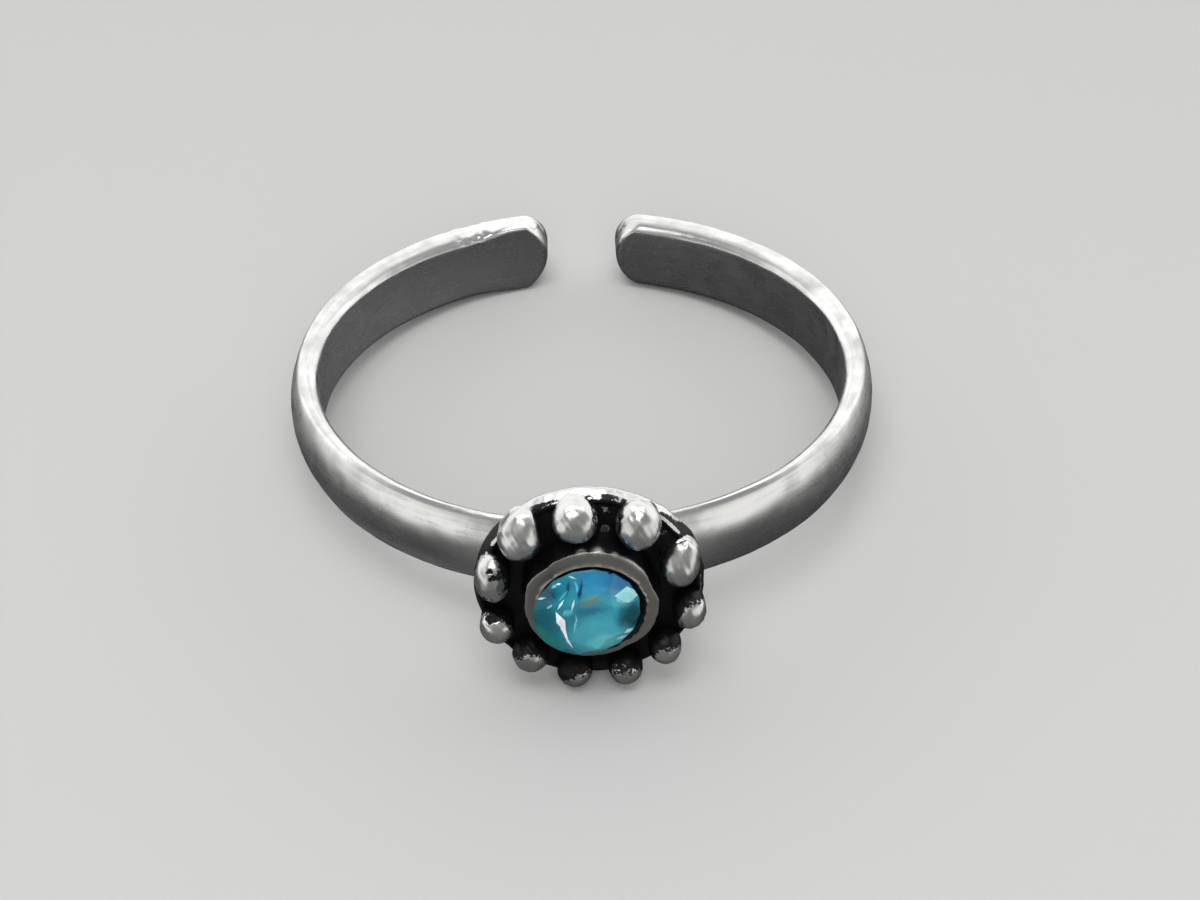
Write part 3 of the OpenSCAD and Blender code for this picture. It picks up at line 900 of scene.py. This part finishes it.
def makeBezel():
    # Rows run from the seat's tip up the cone to its mouth, over the lip and the face, down the wall
    # and back inwards under the seat. The mouth is where the leaning cone meets the face.
    lean, slope = math.radians(bezel["seatLean"]), math.radians(bezel["pavilion"])
    angle = np.linspace(0, 2 * np.pi, bezel["around"], endpoint=False)
    face = crown["bezelFace"]
    tip = np.array([0, 0, -bezel["seatRadius"] * math.tan(slope)])
    ray = np.stack([
        np.cos(angle) * math.cos(slope), np.sin(angle) * math.cos(slope),
        np.full_like(angle, math.sin(slope))], axis=1)
    c, s = math.cos(lean), math.sin(lean)
    leanOver = np.array([[c, 0, s], [0, 1, 0], [-s, 0, c]])
    tip, ray = leanOver @ tip, ray @ leanOver.T
    mouth = tip + ray * (-tip[2] / ray[:, 2])[:, None]
    seat = np.array([bezel["seatX"], bezel["seatUp"], face])
    tip, mouth = tip + seat, mouth + seat
    bearing = np.arctan2(mouth[:, 1], mouth[:, 0])
    wander = waves(np.stack([np.cos(bearing), np.sin(bearing), 0 * bearing], axis=1) * 1.7, 0.35, 41)
    turns, shares = np.array(bezel["edge"]).T
    edge = np.interp(np.degrees(bearing) % 360, turns, shares, period=360)
    wall = bezel["faceRadius"] * (edge + bezel["unevenness"] * wander)
    soft = np.full_like(wall, bezel["edgeRound"])

    def burrShare(turn, reach):
        # A bell curve of the distance along the wall from a burr.
        away = np.radians((np.degrees(bearing) - turn + 180) % 360 - 180) * wall
        return np.exp(-(away / reach) ** 2)

    for turn, reach, rise, _ in bezel["burrs"]:
        share = burrShare(turn, reach)
        wall = wall + rise * share
        soft = soft + 1.6 * rise * share
    footLevel = trayLevel - bezel["footDepth"]

    def ring(radius, level):
        return np.stack([radius * np.cos(bearing), radius * np.sin(bearing), level + 0 * bearing], axis=1)

    lip = tip + (mouth - tip) * (1 + bezel["lip"] * (1 + 0.25 * wander[:, None]))
    rows = [tip + (lip - tip) * k for k in bezel["seatRows"]]
    for k in bezel["faceRows"]:
        row = lip + (ring(wall - soft, face) - lip) * k
        row[:, 2] = face + (lip[:, 2] - face) * np.clip(1 - k / bezel["lipWidth"], 0, 1) ** 1.5
        rows.append(row)
    for k in (0.3, 0.6, 1.0):
        q = k * math.pi / 2
        rows.append(ring(wall - soft + soft * math.sin(q), face - soft + soft * math.cos(q)))
    for k in bezel["wallRows"]:
        rows.append(ring(wall + bezel["flare"] * k, face - soft + (footLevel - face + soft) * k))
    rows.append(ring(np.full_like(wall, bezel["footRadius"]), footLevel))
    rows += [tip + (mouth - tip) * k - [0, 0, bezel["wallUnder"]] for k in (0.6, 0.02)]
    points = np.stack(rows)
    level, radius = points[..., 2], np.hypot(points[..., 0], points[..., 1])
    rub = np.clip(bezel["faceRub"] - bezel["rubFall"] * (face - level), -0.5, bezel["faceRub"])
    burnish = np.zeros_like(radius)
    for turn, reach, _, drop in bezel["burrs"]:
        spot = burrShare(turn, reach) * np.exp(-((face - level) / drop) ** 2) * (radius > wall - 0.05)
        rub = rub + 3 * spot
        burnish = np.maximum(burnish, np.minimum(1.7 * spot, 1))
    rub[:len(bezel["seatRows"])] = -0.5
    attributes = {"rub": rub, "burnish": burnish}
    return buildPiece("bezel", layOnCrown(points), filedMaterial, attributes)


bezelPiece = makeBezel()
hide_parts("silver_ring")
print("bezel made")


def makeStone():
    # The cut stone's own facets, with each edge broken by a hair of a bevel as polishing leaves it.
    mesh = frame["nodes"]["stone"].data.copy()
    tidy = bmesh.new()
    tidy.from_mesh(mesh)
    bmesh.ops.remove_doubles(tidy, verts=tidy.verts, dist=weldReach)
    bmesh.ops.dissolve_limit(tidy, angle_limit=math.radians(0.5), verts=tidy.verts, edges=tidy.edges)
    tidy.to_mesh(mesh)
    tidy.free()
    mesh.shade_flat()
    # painted shade: each face gets a tone at random and the largest face, the table, its own, standing in
    # for the light each face catches
    facet = mesh.attributes.new("facet", "FLOAT", "FACE")
    tones = np.random.default_rng(51).uniform(*gem["facetTones"], len(mesh.polygons))
    tones[np.argmax([face.area for face in mesh.polygons])] = gem["tableTone"]
    facet.data.foreach_set("value", tones.astype(np.float32))
    mesh.materials.clear()
    mesh.materials.append(gemMaterial)
    piece = addObject("cutStone", mesh)
    edgeBreak = piece.modifiers.new("edgeBreak", "BEVEL")
    edgeBreak.width = gem["bevel"] * mm
    edgeBreak.segments = 2
    edgeBreak.limit_method = "ANGLE"
    edgeBreak.angle_limit = math.radians(8)
    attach(piece, "root")
    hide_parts("stone")


makeStone()
print("stone made")


# Floor, lights and world. The floor is pale to the eye; what the silver mirrors of it is a painted
# reflection, darker near the ring, as dark cards laid round a jewel would make it.
studio = {
    "floorColour": "b6b6b5",
    "floorRough": 0.85,
    "floorGloss": 0.2,
    "floorSize": 3.0,  # metres
    # painted reflections, seen only by mirror rays and laid on no real card: what the silver mirrors of
    # the floor, mm from the ring's middle and colour, at the sides and ahead
    "cards": [(5.0, "363638"), (8.5, "3a3a3b"), (10.5, "404040"), (12.5, "4c4c4c"), (15.0, "6a6a6a"),
              (19.0, "b0b0b0"), (25.0, "e2e2e2")],
    "aheadCards": [(5.0, "404040"), (8.5, "4a4a4a"), (11.0, "646464"), (16.0, "646464"), (24.0, "6c6c6c")],
    "widestCard": 30.0,  # mm, as far as both rows of cards can reach
    # a paler painted reflection, which the inner wall mirrors at the left in the bore
    "boreCard": "5e5d60",  # what it mirrors at the left in the bore
    "boreLeft": (1.0, -4.0),  # mm to the right of the middle, where that card begins and is full
    "boreReach": (9.0, 7.5),  # mm from the middle, likewise
    # y of the directions where what lies ahead or behind begins and is full
    "cardsAhead": (-0.75, -0.95),
    "worldAhead": (-0.7, -0.93),
    "worldBehind": (-0.1, 0.3),
    # sine of the elevation and colour of the surroundings, at the sides, ahead and behind
    "sides": [(0.0, "e4e2df"), (0.22, "dcdbd9"), (0.38, "949494"), (0.7, "7c7c7e"), (1.0, "878787")],
    "ahead": [(0.0, "686868"), (0.3, "727272"), (0.6, "818181"), (0.85, "939393"), (1.0, "8a8a8a")],
    "behind": [(0.0, "ffffff"), (0.58, "ffffff"), (0.66, "dcdcdc"), (0.77, "949494"), (0.88, "848484"),
               (1.0, "808080")],
    "worldStrength": 1.42,
    # metres and watts; the wash and the fill aren't mirrored, and the rim's card is only mirrored
    "lights": {
        "windowAbove": {"place": (-0.02, -0.05, 0.22), "size": (0.15, 0.1), "power": 0.17},
        "floorWash": {"place": (0, 0, 0.5), "size": (0.5, 0.5), "power": 0.9, "mirrored": False},
        "frontFill": {"place": (0, -0.3, 0.2), "size": (0.3, 0.3), "power": 0.65, "mirrored": False},
        "rimCard": {"place": (0, -0.0038, 0.0155), "aim": (0, -0.009, 0.005), "size": (0.0135, 0.0045),
                    "power": 0.0004, "lighting": False},
    },
}


def makeFloor():
    # Mirror rays see painted reflections: colours that depend on the distance from the ring's middle,
    # other colours ahead and a paler one at the left in the bore. All else sees plain paper.
    material, tree, place = startMaterial("paperFloor")
    reach = addVectorMath(tree, "LENGTH", place)
    widest = studio["widestCard"]
    spread = addMath(tree, "DIVIDE", reach, widest * mm)
    sideRamp, aheadRamp = (addRamp(tree, spread, [(away / widest, code) for away, code in studio[name]])
                           for name in ("cards", "aheadCards"))
    toLeft = addRange(tree, splitVector(tree, place)["X"], *(v * mm for v in studio["boreLeft"]))
    inBore = addRange(tree, reach, *(v * mm for v in studio["boreReach"]))
    boreShare = addMath(tree, "MULTIPLY", toLeft, inBore)
    paintedMirrorSides = addTint(tree, boreShare, sideRamp, linear(studio["boreCard"]))
    compass = splitVector(tree, addVectorMath(tree, "NORMALIZE", place))
    ahead = addRange(tree, compass["Y"], *studio["cardsAhead"], kind="SMOOTHSTEP")
    cards = addTint(tree, ahead, paintedMirrorSides, aheadRamp)
    path = addNode(tree, "ShaderNodeLightPath")
    colour = addTint(tree, path.outputs["Is Glossy Ray"], linear(studio["floorColour"]), cards)
    finishMaterial(tree, {
        "Roughness": studio["floorRough"], "Specular IOR Level": studio["floorGloss"],
        "Base Color": colour})
    size = studio["floorSize"] / 2
    corners = [(x * size, y * size, 0) for x, y in ((-1, -1), (1, -1), (1, 1), (-1, 1))]
    mesh = bpy.data.meshes.new("floor")
    mesh.from_pydata(corners, [], [(0, 1, 2, 3)])
    mesh.materials.append(material)
    floor = addObject("floor", mesh)


def makeLight(name, place, size, power, aim=(0, 0, 0), mirrored=True, lighting=True):
    # A rectangular soft light, placed and aimed in metres.
    data = bpy.data.lights.new(name, "AREA")
    data.shape = "RECTANGLE"
    data.size, data.size_y = size
    data.energy = power
    light = addObject(name, data)
    light.location = place
    light.rotation_mode = "QUATERNION"
    light.rotation_quaternion = (Vector(aim) - Vector(place)).to_track_quat("-Z", "Y")
    light.visible_camera = False
    light.visible_glossy = mirrored
    light.visible_diffuse = lighting


def makeWorld():
    # The colour depends on the direction's height and on whether it lies at the sides, ahead or behind.
    world = bpy.data.worlds.new("studio")
    world.use_nodes = True
    tree = world.node_tree
    tree.nodes.clear()
    way = addNode(tree, "ShaderNodeTexCoord").outputs["Generated"]
    parts = splitVector(tree, way)
    level = addVectorMath(tree, "NORMALIZE", addVectorMath(tree, "MULTIPLY", way, (1, 1, 0)))
    sides, ahead, behind = (addRamp(tree, parts["Z"], studio[name])
                            for name in ("sides", "ahead", "behind"))
    toFront = addRange(tree, splitVector(tree, level)["Y"], *studio["worldAhead"], kind="SMOOTHSTEP")
    toBack = addRange(tree, parts["Y"], *studio["worldBehind"], kind="SMOOTHSTEP")
    mixed = addTint(tree, toBack, addTint(tree, toFront, sides, ahead), behind)
    inputs = {"Strength": studio["worldStrength"], "Color": mixed}
    back = addNode(tree, "ShaderNodeBackground", None, inputs).outputs[0]
    addNode(tree, "ShaderNodeOutputWorld", None, {"Surface": back})
    bpy.context.scene.world = world


makeFloor()
makeWorld()
for name, settings in studio["lights"].items():
    makeLight(name, **settings)
bpy.context.scene.view_settings.view_transform = "Standard"
print("studio made")
